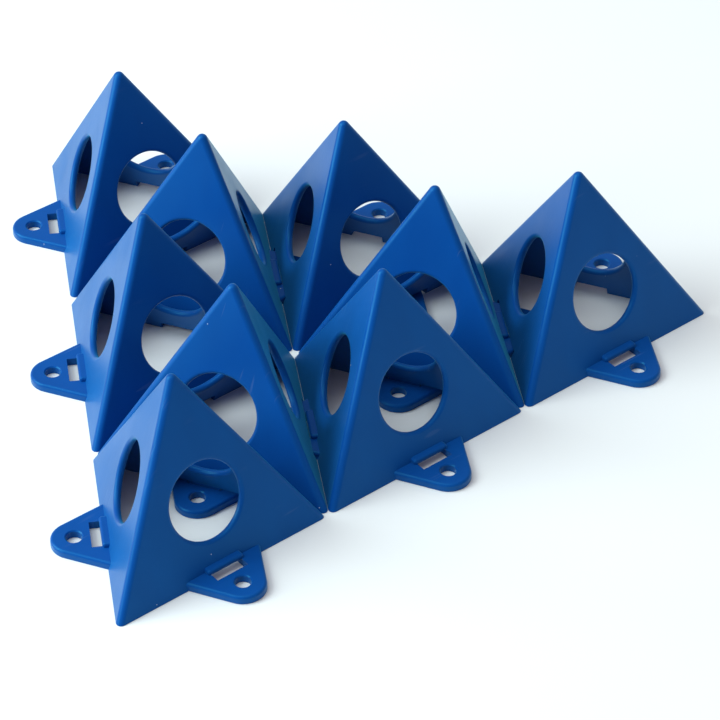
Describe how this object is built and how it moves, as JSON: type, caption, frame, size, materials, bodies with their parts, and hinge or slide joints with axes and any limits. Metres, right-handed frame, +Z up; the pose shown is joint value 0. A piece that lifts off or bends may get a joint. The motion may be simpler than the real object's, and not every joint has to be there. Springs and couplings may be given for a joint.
{
  "type": "linked painter's pyramid stands",
  "caption": "Small hollow three-sided pyramid stands with round holes and screw tabs, linked edge to edge into one flat triangular array that holds a workpiece up on points.",
  "frame": {"origin": "centre of the threefold symmetry of the whole triangle, on the surface the stands rest on", "axes": "+Z up, +X along the front row of three stands, +Y towards the single stand at the back"},
  "size_m": [0.1962, 0.1838, 0.0512],
  "materials": {
    "blue_plastic": "semi-gloss moulded polypropylene"
  },
  "bodies": {
    "linked_ring": {"left_side_pyramid": "blue_plastic", "front_side_pyramid": "blue_plastic", "right_side_pyramid": "blue_plastic", "inner_left_pyramid": "blue_plastic", "inner_right_pyramid": "blue_plastic", "inner_back_pyramid": "blue_plastic"},
    "front_left_corner": {"front_left_corner_pyramid": "blue_plastic"},
    "right_corner": {"right_corner_pyramid": "blue_plastic"},
    "back_corner": {"back_corner_pyramid": "blue_plastic"}
  },
  "joints": [
    {"name": "front_left_lift", "type": "slide", "parent": "linked_ring", "child": "front_left_corner", "axis": [0, 0, 1], "range_m": [0, 0.06]},
    {"name": "right_lift", "type": "slide", "parent": "linked_ring", "child": "right_corner", "axis": [0, 0, 1], "range_m": [0, 0.06]},
    {"name": "back_lift", "type": "slide", "parent": "linked_ring", "child": "back_corner", "axis": [0, 0, 1], "range_m": [0, 0.06]}
  ]
}
